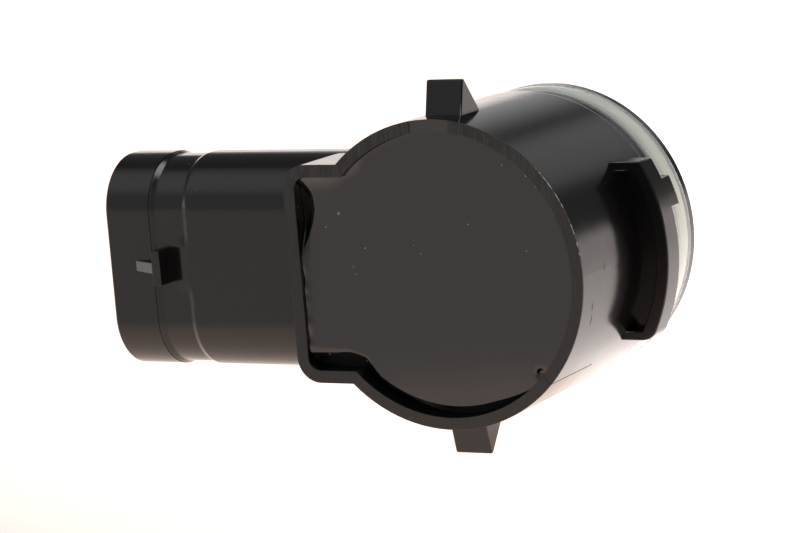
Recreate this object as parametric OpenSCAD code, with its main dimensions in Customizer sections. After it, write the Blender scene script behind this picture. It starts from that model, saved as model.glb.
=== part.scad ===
// Ultrasonic parking sensor: a one-piece moulded housing with a side connector, a membrane cup held
// by a silicone ring in the front bore, and a potted circuit board in the rear chamber.
// Origin: centre of the membrane's outer face. +Y points out of the front, +X away from the
// connector, +Z up. Inside the modules every piece is drawn as [x, up, depth], where depth is
// measured from the membrane's face towards the rear.

/* [Barrel] */
// Outer diameter of the barrel
barrel_d = 23; // [21:0.1:26]
// Step from the barrel down to the front collar, on the radius
collar_step = 0.3; // [0.1:0.05:0.4]
// Rounding of the barrel's front edge
barrel_round = 0.6; // [0.2:0.05:0.8]
// Length of the front collar
collar_len = 1.35; // [0.5:0.05:2]
// Wall of the front collar
collar_wall = 1.1; // [0.9:0.05:1.5]
// Wall of the round part of the rear chamber
chamber_wall = 0.9; // [0.7:0.05:1.2]
// Depth of the rear chamber below the rim
chamber_depth = 8.8; // [8:0.1:11]
// Thickness of the bulkhead between the front bore and the rear chamber
bulkhead_t = 1.2; // [0.8:0.1:1.8]
// Width of the gate mark at the top of the rear rim
gate_w = 3.2; // [2:0.1:4]
// Depth of the gate mark
gate_t = 0.1; // [0.05:0.05:0.2]

/* [Chamber box] */
// How far the box beside the barrel stands out past the barrel
box_proud = 1.17; // [0.8:0.05:2]
// Height of the box
box_h = 16.5; // [15:0.1:18]
// Outer corner radius of the box
box_corner = 1.9; // [1.3:0.1:2.5]
// Wall of the box
box_wall = 0.95; // [0.7:0.05:1.2]
// Depth of the potting's surface below the rim
pot_recess = 1.5; // [1:0.1:2.6]

/* [Connector] */
// Length of the connector from the box to its mouth
conn_len = 17.65; // [15:0.05:21]
// Height of the connector's mouth collar
conn_h = 16.7; // [15.5:0.1:18]
// Thickness of the connector's mouth collar
conn_w = 9.4; // [8.6:0.1:11]
// Corner radius of the mouth collar
conn_corner = 4.3; // [3:0.1:4.5]
// Distance of the connector's middle plane from the rear rim
conn_set = 7; // [6.8:0.1:7.6]
// Wall of the socket
conn_wall = 1.6; // [1.2:0.05:2]
// Depth of the socket
socket_depth = 14.5; // [12:0.1:16]
// Length of the mouth collar
collar_band = 4; // [2.5:0.1:5]
// Width of the shallow groove behind the mouth collar
groove_band = 3.5; // [2.5:0.1:5]
// Inset of the groove below the mouth collar
groove_inset = 0.22; // [0.1:0.02:0.4]
// Inset of the connector's stem below the mouth collar
stem_inset = 0.03; // [0.01:0.01:0.2]

/* [Latch] */
// Height of the latch nose above the connector's face
latch_rise = 1.05; // [0.8:0.05:2]
// Width of the latch nose
latch_w = 2.7; // [2:0.1:4]
// Thickness of the latch nose
latch_t = 0.75; // [0.5:0.05:1.2]
// Distance of the latch's holding face from the mouth
latch_set = 5.3; // [4.5:0.05:7]
// Height of the latch's middle above the connector's middle
latch_shift = 0.1; // [0:0.05:0.8]
// Length of the lead-in rib in front of the nose
leadin_len = 2.1; // [1.2:0.1:3.6]
// Rise of the lead-in rib where it meets the nose
leadin_rise = 1; // [0.6:0.05:1.6]
// Width of the lead-in rib
leadin_w = 0.85; // [0.5:0.05:1.4]

/* [Snap lugs] */
// Width of a lug
lug_w = 3; // [2:0.1:4]
// Height of a lug above the barrel
lug_rise = 2.5; // [1.2:0.05:3]
// Length of a lug along the barrel
lug_len = 3.05; // [2.4:0.05:4]
// Width of the flat at a lug's tip
lug_tip = 0.3; // [0.1:0.05:0.6]
// Lean of a lug's holding face towards the front
lug_lean = 14; // [0:1:20]
// Distance of a lug's holding face from the rear rim, at its foot
lug_set = 2.45; // [1.5:0.05:4]

/* [Arc flange] */
// Height of the flange above the barrel
flange_rise = 2.13; // [1.6:0.05:3]
// Length of the flange along the barrel
flange_len = 2.08; // [1.6:0.05:3]
// Height of the flange from end to end
flange_h = 13.44; // [10:0.1:16]
// Distance of the flange's rear edge from the rear rim
flange_set = 10.24; // [9:0.1:11]
// Outer wall of the flange
flange_wall = 1; // [0.6:0.05:1.2]
// End walls of the flange
flange_end = 0.7; // [0.5:0.05:1.2]
// Front web of the flange
flange_web = 0.8; // [0.5:0.05:1.2]
// Rounding of the flange's lower outer corner
flange_round = 1.3; // [0.6:0.1:2]
// Length of the tab in front of the flange
tab_len = 1.36; // [0.8:0.05:2]
// Thickness of the tab
tab_t = 0.6; // [0.4:0.05:0.9]
// Height of the tab
tab_h = 2.2; // [1.5:0.1:4]
// Height of the tab's middle above the axis
tab_shift = 4.1; // [3:0.1:4.6]

/* [Transducer] */
// Thickness of the membrane disc at its edge
disc_t = 1; // [0.7:0.05:1.3]
// How far the disc's edge stands out past the silicone lip
disc_proud = 0.04; // [0.02:0.02:0.2]
// Depth of the bevel on the disc's front edge
disc_bevel = 0.3; // [0.2:0.05:0.5]
// Width of the bevel on the disc's front edge
disc_bevel_w = 0.4; // [0.3:0.05:1]
// Thickness of the membrane in the cup
membrane_t = 0.9; // [0.6:0.05:1.3]
// Outer diameter of the cup
cup_d = 15.5; // [14.5:0.1:16.5]
// Inner diameter of the cup
cup_bore = 13.2; // [12.4:0.1:13.6]
// Height of the oblong pocket in the cup
pocket_h = 9.4; // [9:0.1:11]
// Height of the bead round the cup's rear end
bead_rise = 0.65; // [0.4:0.05:0.9]
// Length of the bead
bead_len = 1.2; // [0.8:0.1:1.8]
// Diameter of the piezo disc
piezo_d = 8.4; // [7.6:0.1:8.8]
// Thickness of the piezo disc
piezo_t = 0.5; // [0.3:0.05:0.8]
// Visible length of the silicone lip
lip_len = 2.5; // [2:0.1:4.5]
// How far the silicone lip stands out past the collar
lip_proud = 0.2; // [0.05:0.01:0.25]
// Distance of the silicone lip's crest from the disc
lip_crest = 0.9; // [0.5:0.05:1.7]
// How far the silicone lip falls from its crest to its far edge
lip_crown = 0.25; // [0.05:0.05:0.5]
// Length of the ring's part inside the bore
insert_len = 5.9; // [4.4:0.1:6.5]
// Thickness of the ring's lip behind the cup
ring_back = 0.8; // [0.5:0.05:1.2]
// Diameter of the opening in the ring's back
ring_back_d = 13.2; // [12:0.1:13.6]
// Thickness of the carrier disc
carrier_t = 1.2; // [0.8:0.05:1.6]
// Diameter of the two leads
lead_d = 0.4; // [0.3:0.05:0.6]
// Distance of the cup lead's foot from the axis
cup_lead_foot = 5.3; // [5:0.05:5.8]

/* [Contacts] */
// Diameter of the two contact pins
pin_d = 0.7; // [0.5:0.05:0.9]
// Distance between the two contact pins
pin_pitch = 4.4; // [3.6:0.1:5.2]
// Length of the pins inside the cup
pin_stub = 0.6; // [0.4:0.05:0.9]
// Length of pins and terminals behind the board
pin_tail = 0.7; // [0.4:0.05:0.9]
// Width of the square terminals
term_w = 0.64; // [0.5:0.02:0.8]
// Distance between terminals
term_pitch = 2.54; // [2.2:0.02:3]
// Length of the terminals in the socket
term_reach = 8; // [6:0.1:9]
// Length of the pointed tip of a terminal
term_point = 0.9; // [0.5:0.05:1.4]
// Distance of the terminals' solder row from the box's inner wall
term_inset = 1.6; // [1.3:0.05:2.2]

/* [Circuit board] */
// Thickness of the board
board_t = 1; // [0.6:0.05:1.4]
// Gap between the board's edge and the chamber's wall
board_gap = 0.3; // [0.15:0.05:0.5]
// Height of the ribs that carry the board
rib_h = 3.2; // [3.1:0.05:3.6]
// Width of a rib
rib_w = 1.4; // [1:0.1:2]
// How far a rib stands out from the chamber's wall
rib_out = 1.3; // [0.9:0.1:1.6]

/* [Board parts] */
// Length of the chip's body
chip_l = 5; // [4.4:0.1:5.6]
// Width of the chip's body
chip_w = 3.9; // [3.4:0.1:4.4]
// Height of the chip's body
chip_h = 1.3; // [1:0.05:1.5]
// Distance between the chip's leads
chip_pitch = 0.65; // [0.55:0.01:0.68]
// How far the chip's leads reach past its body
chip_reach = 1; // [0.7:0.05:1.2]
// Thickness of a chip lead
chip_lead_t = 0.2; // [0.12:0.02:0.3]
// Width of a chip lead
chip_lead_w = 0.3; // [0.2:0.02:0.36]
// Distance of the chip from the axis, upwards
chip_up = 5; // [4.6:0.1:5.4]
// Width of the transformer's base
trafo_w = 5.4; // [4.6:0.1:5.8]
// Thickness of the transformer's base
trafo_base_t = 0.5; // [0.3:0.05:0.7]
// Diameter of the transformer's coil
coil_d = 4.6; // [4:0.1:5]
// Height of the transformer's coil
coil_h = 1.5; // [1:0.1:1.6]
// Diameter of the transformer's core post
post_d = 2; // [1.6:0.1:2.6]
// Thickness of the core's top plate
core_t = 0.6; // [0.4:0.05:0.7]
// Distance of the transformer from the axis, downwards
trafo_down = 5; // [4.4:0.1:5.4]
// Length of the storage capacitor
tank_l = 3.5; // [3:0.1:4.5]
// Width of the storage capacitor
tank_w = 2.8; // [2.2:0.1:3.2]
// Height of the storage capacitor
tank_h = 1.9; // [1.4:0.1:2.4]
// Distance of the storage capacitor from the axis, upwards
tank_up = 5; // [4:0.1:6]
// Length of a ceramic capacitor
ceramic_l = 2; // [1.6:0.05:2.3]
// Width of a ceramic capacitor
ceramic_w = 1.25; // [0.9:0.05:1.5]
// Height of a ceramic capacitor
ceramic_h = 0.9; // [0.6:0.05:1.2]
// Length of a chip resistor
resistor_l = 1.6; // [1.2:0.05:1.8]
// Width of a chip resistor
resistor_w = 0.8; // [0.6:0.05:1]
// Height of a chip resistor
resistor_h = 0.45; // [0.3:0.05:0.6]

/* [Fits] */
// Clearance of a turned fit, on the radius
turned_fit = 0.03; // [0.01:0.01:0.06]
// Clearance round a pin or a terminal, on each side
pin_fit = 0.04; // [0.02:0.01:0.08]

/* [Hidden] */
$fn = 96;

// Extra length of a cut where it leaves the solid
over = 1;
// How deep a moulded feature is rooted in the wall that carries it
root = 0.4;

// Radii
barrel_r = barrel_d / 2;
collar_r = barrel_r - collar_step;
bore_r = collar_r - collar_wall;
chamber_r = barrel_r - chamber_wall;
lip_r = collar_r + lip_proud;
disc_r = lip_r + disc_proud;
cup_r = cup_d / 2;
bead_r = cup_r + bead_rise;
flange_r = barrel_r + flange_rise;
board_r = chamber_r - board_gap;

// Depths behind the membrane's face, from front to rear
d_lip = disc_t + lip_len;
d_step = d_lip + collar_len;
d_carrier = d_lip + insert_len;
d_bulkhead = d_carrier + carrier_t;
d_chamber = d_bulkhead + bulkhead_t;
d_board = d_chamber + rib_h;
d_board_back = d_board + board_t;
d_rim = d_chamber + chamber_depth;
d_potting = d_rim - pot_recess;
d_cup_end = d_carrier - ring_back;
d_pin_front = d_cup_end - pin_stub;
d_piezo_back = membrane_t + piezo_t;
d_tail = d_board_back + pin_tail;
d_conn = d_rim - conn_set;
d_flange = d_rim - flange_set - flange_len;
d_lug = d_rim - lug_set;

// Distances from the axis towards the connector's mouth
box_reach = barrel_r + box_proud;
box_inner = box_reach - box_wall;
mouth = box_reach + conn_len;
socket_floor = mouth - socket_depth;
term_row = box_inner - term_inset;
term_tip = socket_floor + term_reach;
latch_face = mouth - latch_set;

// Connector face that carries the latch
d_conn_face = d_conn + conn_w / 2;

// Counts of repeated parts
chip_leads_per_side = 7;
rib_angles = [60, 120, 240, 300];
terminal_rows = [1, 0, -1];

// Places of the small parts on the rear of the board, as [x, up]
ceramic_places = [[-4.6, -4], [-0.2, -4], [4.2, -4], [-2.4, -7], [2.2, -7]];
resistor_places = [[-6.6, 4.6], [-6.6, 2.6], [6.6, 1.2], [6.6, -0.8], [7, -3], [-7.4, -5]];

// Sets a piece drawn as [x, up, depth] into the sensor's frame
module in_frame() {
    rotate([90, 0, 0]) children();
}

// Extrudes a section drawn as [depth, up] from one distance to another towards the mouth
module towards_mouth(from, to) {
    translate([-from, 0, 0])
        rotate([0, -90, 0])
            linear_extrude(to - from)
                children();
}

// Rectangle round the origin with rounded corners
module rounded_rectangle(w, h, r) {
    square([w - 2 * r, h], center = true);
    square([w, h - 2 * r], center = true);
    for (sx = [-1, 1], sy = [-1, 1])
        translate([sx * (w / 2 - r), sy * (h / 2 - r)]) circle(r = r);
}

// Keyhole outline of the rear: a circle with a box that has two rounded corners
module keyhole(r, reach, h, corner) {
    circle(r = r);
    translate([-(reach - corner), -h / 2]) square([reach - corner, h]);
    translate([-reach, -(h / 2 - corner)]) square([reach, h - 2 * corner]);
    for (s = [-1, 1])
        translate([-(reach - corner), s * (h / 2 - corner)]) circle(r = corner);
}

module chamber_outline() {
    keyhole(chamber_r, box_inner, box_h - 2 * box_wall, box_corner - box_wall);
}

// Section of the connector, inset below the mouth collar
module connector_section(inset) {
    translate([d_conn, 0])
        rounded_rectangle(conn_w - 2 * inset, conn_h - 2 * inset, conn_corner - inset);
}

module connector_outside() {
    band_start = mouth - collar_band;
    groove_start = band_start - groove_band;
    towards_mouth(band_start, mouth) connector_section(0);
    towards_mouth(groove_start, band_start) connector_section(groove_inset);
    towards_mouth(0, groove_start) connector_section(stem_inset);
}

// Latch on the connector's rear face: a nose with a holding face and a sloping lead-in rib
module latch() {
    nose_back = latch_face + latch_t;
    translate([-nose_back, latch_shift - latch_w / 2, d_conn_face - root - groove_inset])
        cube([latch_t, latch_w, latch_rise + root + groove_inset]);
    translate([-nose_back, latch_shift + leadin_w / 2, d_conn_face])
        rotate([90, 0, 0])
            linear_extrude(leadin_w)
                polygon([
                    [latch_t / 2, -root - groove_inset],
                    [latch_t / 2, leadin_rise],
                    [0, leadin_rise],
                    [-leadin_len, 0],
                    [-leadin_len, -root]
                ]);
}

// Wedge that snaps into the holder, on the upper side for 1 and the lower side for -1
module lug(side) {
    tip_r = barrel_r + lug_rise;
    foot_r = sqrt(barrel_r * barrel_r - lug_w * lug_w / 4);
    tip_ahead = (tip_r - foot_r) * tan(lug_lean);
    translate([-lug_w / 2, 0, d_lug])
        rotate([0, 90, 0])
            linear_extrude(lug_w)
                polygon([
                    [0, side * (foot_r - root)],
                    [0, side * foot_r],
                    [tip_ahead, side * tip_r],
                    [tip_ahead + lug_tip, side * tip_r],
                    [lug_len, side * foot_r],
                    [lug_len, side * (foot_r - root)]
                ]);
}

// Arc flange beside the barrel with a pocket that is open to the rear
module flange() {
    difference() {
        translate([0, 0, d_flange]) linear_extrude(flange_len) flange_outline();
        translate([0, 0, d_flange + flange_web])
            linear_extrude(flange_len)
                arc_segment(flange_r - flange_wall, flange_h - 2 * flange_end);
    }
    translate([0, 0, d_flange - tab_len])
        linear_extrude(tab_len + flange_web)
            intersection() {
                difference() {
                    circle(r = flange_r);
                    circle(r = flange_r - tab_t);
                }
                translate([0, tab_shift - tab_h / 2]) square([flange_r, tab_h]);
            }
}

// Outline of the flange, with its lower outer corner rounded
module flange_outline() {
    middle_r = flange_r - flange_round;
    middle_up = flange_round - flange_h / 2;
    middle_x = sqrt(middle_r * middle_r - middle_up * middle_up);
    past_arc = (flange_r + over) / middle_r;
    difference() {
        arc_segment(flange_r, flange_h);
        polygon([
            [middle_x, middle_up],
            [middle_x, -flange_h / 2 - over],
            [middle_x * past_arc, -flange_h / 2 - over],
            [middle_x * past_arc, middle_up * past_arc]
        ]);
    }
    translate([middle_x, middle_up]) circle(r = flange_round);
}

// Part of a round plate between the barrel and a radius, cut level at both ends
module arc_segment(r, h) {
    difference() {
        intersection() {
            circle(r = r);
            translate([0, -h / 2]) square([r, h]);
        }
        circle(r = barrel_r - root);
    }
}

// Ribs on the chamber's wall that carry the board
module board_ribs() {
    translate([0, 0, d_chamber])
        linear_extrude(rib_h)
            for (a = rib_angles)
                intersection() {
                    circle(r = chamber_r);
                    rotate(a)
                        translate([chamber_r - rib_out, -rib_w / 2])
                            square([rib_out + over, rib_w]);
                }
}

// Square terminal bent towards the board, in the row that its number gives
module terminal(row) {
    half = term_w / 2;
    up = row * term_pitch;
    leg_end = -term_row + half;
    intersection() {
        translate([0, up + half, 0])
            rotate([90, 0, 0])
                linear_extrude(term_w)
                    polygon([
                        [-term_tip, d_conn - half / 2],
                        [-term_tip + term_point, d_conn - half],
                        [leg_end, d_conn - half],
                        [leg_end, d_tail],
                        [leg_end - term_w, d_tail],
                        [leg_end - term_w, d_conn + half],
                        [-term_tip + term_point, d_conn + half],
                        [-term_tip, d_conn + half / 2]
                    ]);
        translate([0, up, d_conn - over])
            linear_extrude(d_tail - d_conn + 2 * over)
                polygon([
                    [-term_tip, -half / 2],
                    [-term_tip + term_point, -half],
                    [leg_end, -half],
                    [leg_end, half],
                    [-term_tip + term_point, half],
                    [-term_tip, half / 2]
                ]);
    }
}

// Straight holes for the terminals in the socket's floor
module terminal_holes() {
    side = term_w + 2 * pin_fit;
    for (row = terminal_rows)
        towards_mouth(box_inner - over, socket_floor + over)
            translate([d_conn, row * term_pitch]) square(side, center = true);
}

// Holes for the two contact pins
module pin_holes(from, to) {
    for (s = [-1, 1])
        translate([s * pin_pitch / 2, 0, from]) cylinder(d = pin_d + 2 * pin_fit, h = to - from);
}

module contact_pin(side) {
    translate([side * pin_pitch / 2, 0, d_pin_front]) cylinder(d = pin_d, h = d_tail - d_pin_front);
}

// Oblong pocket of the cup, drawn in section
module pocket_outline() {
    intersection() {
        circle(d = cup_bore);
        square([cup_bore, pocket_h], center = true);
    }
}

// Wire that slopes from the cup's floor to a contact pin, with a given thickness
module cup_wire(d) {
    rise = d_pin_front - membrane_t;
    shift = cup_lead_foot - pin_pitch / 2;
    lean = atan2(shift, rise);
    intersection() {
        translate([-cup_lead_foot, 0, membrane_t])
            rotate([0, lean, 0])
                translate([0, 0, -over])
                    cylinder(d = d, h = sqrt(rise * rise + shift * shift) + 2 * over);
        translate([-cup_bore / 2, -cup_bore / 2, membrane_t]) cube([cup_bore, cup_bore, rise]);
    }
}

// Wire that runs straight from the piezo disc to a contact pin, with a given thickness
module piezo_wire(d) {
    translate([pin_pitch / 2, 0, d_piezo_back]) cylinder(d = d, h = d_pin_front - d_piezo_back);
}

// Front end of the barrel with its rounded edge
module barrel_front() {
    flat_r = barrel_r - barrel_round;
    rotate_extrude()
        translate([0, d_step]) {
            square([flat_r, barrel_round]);
            intersection() {
                translate([flat_r, 0]) square(barrel_round);
                translate([flat_r, barrel_round]) circle(r = barrel_round);
            }
        }
}

module housing() {
    color("#2b2a29")
        in_frame() {
            difference() {
                union() {
                    barrel_front();
                    translate([0, 0, d_step + barrel_round])
                        cylinder(r = barrel_r, h = d_rim - d_step - barrel_round);
                    translate([0, 0, d_lip]) cylinder(r = collar_r, h = d_rim - d_lip);
                    translate([0, 0, d_bulkhead])
                        linear_extrude(d_rim - d_bulkhead)
                            keyhole(barrel_r, box_reach, box_h, box_corner);
                    connector_outside();
                    latch();
                    for (side = [-1, 1]) lug(side);
                    flange();
                }
                translate([0, 0, d_lip - over]) cylinder(r = bore_r, h = d_bulkhead - d_lip + over);
                translate([0, 0, d_chamber]) linear_extrude(chamber_depth + over) chamber_outline();
                translate([-gate_w / 2, 0, d_rim - gate_t]) cube([gate_w, box_reach, gate_t + over]);
                towards_mouth(socket_floor, mouth + over) connector_section(conn_wall);
                terminal_holes();
                pin_holes(d_bulkhead - over, d_chamber + over);
            }
            board_ribs();
        }
}

module decoupling_ring() {
    inner = cup_r + turned_fit;
    groove = bead_r + turned_fit;
    outer = bore_r - turned_fit;
    bead_start = d_cup_end - bead_len;
    lip_reach = max(lip_crest, lip_len - lip_crest);
    lip_arc = (lip_reach * lip_reach + lip_crown * lip_crown) / (2 * lip_crown);
    color("#d4dbce")
        in_frame()
            rotate_extrude() {
                intersection() {
                    translate([inner, disc_t]) square([lip_r - inner, lip_len]);
                    translate([lip_r - lip_arc, disc_t + lip_crest]) circle(r = lip_arc);
                }
                polygon([
                    [inner, disc_t],
                    [outer, disc_t],
                    [outer, d_carrier],
                    [ring_back_d / 2, d_carrier],
                    [ring_back_d / 2, d_cup_end],
                    [groove, d_cup_end],
                    [groove, bead_start],
                    [inner, bead_start]
                ]);
            }
}

module membrane_cup() {
    bead_start = d_cup_end - bead_len;
    color("#181818")
        in_frame()
            difference() {
                rotate_extrude()
                    polygon([
                        [0, 0],
                        [disc_r - disc_bevel_w, 0],
                        [disc_r, disc_bevel],
                        [disc_r, disc_t],
                        [cup_r, disc_t],
                        [cup_r, bead_start],
                        [bead_r, bead_start],
                        [bead_r, d_cup_end],
                        [0, d_cup_end]
                    ]);
                translate([0, 0, membrane_t])
                    linear_extrude(d_cup_end - membrane_t + over)
                        pocket_outline();
            }
}

module piezo_disc() {
    color("#c9bfa2")
        in_frame()
            translate([0, 0, membrane_t]) cylinder(d = piezo_d, h = piezo_t);
}

module damping_foam() {
    hole = lead_d + 2 * pin_fit;
    color("#e6e3da")
        in_frame()
            difference() {
                translate([0, 0, d_piezo_back])
                    linear_extrude(d_pin_front - d_piezo_back)
                        pocket_outline();
                translate([pin_pitch / 2, 0, 0]) cylinder(d = hole, h = d_cup_end);
                cup_wire(hole);
            }
}

module piezo_lead() {
    color("#b5793a")
        in_frame() piezo_wire(lead_d);
}

module cup_lead() {
    color("#b5793a")
        in_frame() cup_wire(lead_d);
}

module transducer_carrier() {
    color("#3a3a3c")
        in_frame()
            difference() {
                union() {
                    translate([0, 0, d_carrier]) cylinder(r = bore_r - turned_fit, h = carrier_t);
                    translate([0, 0, d_cup_end])
                        cylinder(r = ring_back_d / 2 - turned_fit, h = ring_back + carrier_t);
                }
                pin_holes(d_cup_end - over, d_bulkhead + over);
            }
}

module contact_pin_a() {
    color("#c8b46a")
        in_frame() contact_pin(1);
}

module contact_pin_b() {
    color("#c8b46a")
        in_frame() contact_pin(-1);
}

module circuit_board() {
    box_gap = box_wall + board_gap;
    hole = term_w + 2 * pin_fit;
    color("#2f6b45")
        in_frame()
            difference() {
                translate([0, 0, d_board])
                    linear_extrude(board_t)
                        keyhole(board_r, box_reach - box_gap, box_h - 2 * box_gap,
                            box_corner - box_wall);
                pin_holes(d_board - over, d_board_back + over);
                for (row = terminal_rows)
                    translate([-term_row, row * term_pitch, d_board + board_t / 2])
                        cube([hole, hole, board_t + 2 * over], center = true);
            }
}

// Block on the rear of the board, placed by its middle
module rear_block(place, size) {
    translate([place[0] - size[0] / 2, place[1] - size[1] / 2, d_board_back]) cube(size);
}

module signal_chip() {
    color("#232326")
        in_frame()
            rear_block([0, chip_up], [chip_l, chip_w, chip_h]);
}

// Bent leads along both long sides of the chip
module chip_leads() {
    half = chip_w / 2;
    mid = chip_h / 2;
    foot = chip_reach / 2;
    color("#b9bcc0")
        in_frame()
            for (side = [-1, 1], i = [0 : chip_leads_per_side - 1])
                translate([
                    (i - (chip_leads_per_side - 1) / 2) * chip_pitch - chip_lead_w / 2,
                    chip_up,
                    d_board_back
                ])
                    rotate([90, 0, 90])
                        linear_extrude(chip_lead_w)
                            polygon([
                                [side * half, mid],
                                [side * half, mid + chip_lead_t],
                                [side * (half + foot), mid + chip_lead_t],
                                [side * (half + foot), chip_lead_t],
                                [side * (half + chip_reach), chip_lead_t],
                                [side * (half + chip_reach), 0],
                                [side * (half + foot - chip_lead_t), 0],
                                [side * (half + foot - chip_lead_t), mid]
                            ]);
}

// Stacks a transformer piece in front of the board, from one distance off the board to another
module on_transformer(from, to) {
    translate([0, -trafo_down, d_board - to]) linear_extrude(to - from) children();
}

module transformer_base() {
    color("#1f1f22")
        in_frame()
            on_transformer(0, trafo_base_t) square(trafo_w, center = true);
}

module transformer_coil() {
    color("#a8642f")
        in_frame()
            on_transformer(trafo_base_t, trafo_base_t + coil_h)
                difference() {
                    circle(d = coil_d);
                    circle(d = post_d + 2 * turned_fit);
                }
}

module transformer_core() {
    coil_top = trafo_base_t + coil_h;
    color("#4b4a4c")
        in_frame() {
            on_transformer(trafo_base_t, coil_top) circle(d = post_d);
            on_transformer(coil_top, coil_top + core_t) circle(d = trafo_w);
        }
}

module storage_capacitor() {
    color("#c48a2c")
        in_frame()
            translate([-tank_l / 2, tank_up - tank_w / 2, d_board - tank_h])
                cube([tank_l, tank_w, tank_h]);
}

module ceramic_capacitors() {
    color("#b39a78")
        in_frame()
            for (place = ceramic_places) rear_block(place, [ceramic_l, ceramic_w, ceramic_h]);
}

module chip_resistors() {
    color("#26272b")
        in_frame()
            for (place = resistor_places) rear_block(place, [resistor_l, resistor_w, resistor_h]);
}

module terminal_upper() {
    color("#cfc9b8")
        in_frame() terminal(terminal_rows[0]);
}

module terminal_middle() {
    color("#cfc9b8")
        in_frame() terminal(terminal_rows[1]);
}

module terminal_lower() {
    color("#cfc9b8")
        in_frame() terminal(terminal_rows[2]);
}

// Resin round everything in the rear chamber
module potting_fill() {
    color("#1d1c1b")
        difference() {
            in_frame()
                translate([0, 0, d_chamber]) linear_extrude(d_potting - d_chamber) chamber_outline();
            in_frame() board_ribs();
            circuit_board();
            signal_chip();
            chip_leads();
            transformer_base();
            in_frame() on_transformer(trafo_base_t, trafo_base_t + coil_h) circle(d = coil_d);
            transformer_core();
            storage_capacitor();
            ceramic_capacitors();
            chip_resistors();
            contact_pin_a();
            contact_pin_b();
            terminal_upper();
            terminal_middle();
            terminal_lower();
        }
}

housing();
decoupling_ring();
membrane_cup();
piezo_disc();
damping_foam();
piezo_lead();
cup_lead();
transducer_carrier();
contact_pin_a();
contact_pin_b();
circuit_board();
signal_chip();
chip_leads();
transformer_base();
transformer_coil();
transformer_core();
storage_capacitor();
ceramic_capacitors();
chip_resistors();
terminal_upper();
terminal_middle();
terminal_lower();
potting_fill();
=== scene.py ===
# %% [markdown]
# # A parking sensor, seen from its potted rear
# The part is a small ultrasonic sensor that snaps into a bumper. Its solids already exist at their real
# size, so this lesson only dresses them: it sets a camera and a light, rounds the moulded edges, lets
# the resin curl up at the walls, and gives each piece a finish.
# We start by loading the imported model as a fixed frame and by keeping its box, from which the floor's
# level, the rim and the connector's mouth are taken later. We start by loading the imported model as a
# fixed frame and by keeping its box, because the dressed sensor may not grow out of it.

# %% Load the frame
import math

import bmesh
import bpy
from mathutils import Matrix, Vector, noise
from mathutils.bvhtree import BVHTree
from mathutils.interpolate import poly_3d_calc


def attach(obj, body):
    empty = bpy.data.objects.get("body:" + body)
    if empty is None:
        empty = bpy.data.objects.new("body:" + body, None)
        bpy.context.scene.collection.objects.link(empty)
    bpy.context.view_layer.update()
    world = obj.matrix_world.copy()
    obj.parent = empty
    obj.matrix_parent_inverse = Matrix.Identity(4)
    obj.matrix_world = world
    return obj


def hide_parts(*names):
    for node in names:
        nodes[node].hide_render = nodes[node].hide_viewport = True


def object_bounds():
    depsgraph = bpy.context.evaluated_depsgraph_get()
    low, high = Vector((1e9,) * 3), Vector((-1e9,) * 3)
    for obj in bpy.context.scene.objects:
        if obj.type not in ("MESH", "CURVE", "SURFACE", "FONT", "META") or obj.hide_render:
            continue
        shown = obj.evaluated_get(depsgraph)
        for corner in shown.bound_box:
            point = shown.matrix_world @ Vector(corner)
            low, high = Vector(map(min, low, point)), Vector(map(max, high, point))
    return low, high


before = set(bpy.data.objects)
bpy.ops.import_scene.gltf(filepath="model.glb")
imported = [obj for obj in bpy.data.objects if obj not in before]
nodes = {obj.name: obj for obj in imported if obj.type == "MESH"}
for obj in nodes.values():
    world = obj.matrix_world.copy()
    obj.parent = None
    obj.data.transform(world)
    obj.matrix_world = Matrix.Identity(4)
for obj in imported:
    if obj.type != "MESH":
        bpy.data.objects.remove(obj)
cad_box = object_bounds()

MM = 0.001
scene = bpy.context.scene
print("solids in the frame:", len(nodes))
print("box in mm:", [[round(c / MM, 2) for c in corner] for corner in cad_box])

# %% [markdown]
# ## The camera
# The picture was taken from behind, a little to the right and a little above, with a long lens. Two
# points and a roll say that more plainly than three angles would: where the camera stands, what it
# looks at, and how far it leans. Blender cameras look along their own minus Z, so `to_track_quat`
# turns that axis onto the line of sight, and the roll is a turn about the same axis.

# %% Set the camera
camera_place = Vector((109.4, -222.4, 39.3)) * MM
camera_aim = Vector((-2.54, -21.84, 0.92)) * MM
camera_roll = math.radians(4.75)
lens_mm, film_mm = 144, 36
nearest_seen = 10 * MM

camera_data = bpy.data.cameras.new("rear_camera")
camera_data.lens = lens_mm
camera_data.sensor_width = film_mm
camera_data.clip_start = nearest_seen
camera = bpy.data.objects.new("rear_camera", camera_data)
scene.collection.objects.link(camera)
line_of_sight = camera_aim - camera_place
turn = line_of_sight.to_track_quat("-Z", "Y").to_matrix() @ Matrix.Rotation(-camera_roll, 3, "Z")
camera.matrix_world = Matrix.Translation(camera_place) @ turn.to_4x4()
scene.camera = camera
scene.view_settings.view_transform = "Standard"
print("camera stands", round(line_of_sight.length / MM), "mm away")

# %% [markdown]
# ## The floor
# Product photographs like this one are taken on a sheet of white paper that glows from within, so the
# sensor throws no shadow and its black underside mirrors a bright ground. A plane with a lamp could
# do that, but an emitting sheet is free of noise. The sheet is a disc of rings that curls up at its far
# edge, like a paper sweep. Its sizes are in metres.

# %% Lay the floor
def new_mesh_piece(name, bm):
    """Turns a bmesh into an object in the scene."""
    mesh = bpy.data.meshes.new(name)
    bm.to_mesh(mesh)
    bm.free()
    piece = bpy.data.objects.new(name, mesh)
    scene.collection.objects.link(piece)
    return piece


def full_turn(corners):
    """Even angles round a full turn, one for each corner of a ring."""
    return [2 * math.pi * k / corners for k in range(corners)]


def bridge(bm, inner, outer):
    """Joins two closed rings of corners with four-sided faces."""
    for k in range(len(inner)):
        n = (k + 1) % len(inner)
        bm.faces.new((inner[k], outer[k], outer[n], inner[n]))


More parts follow.
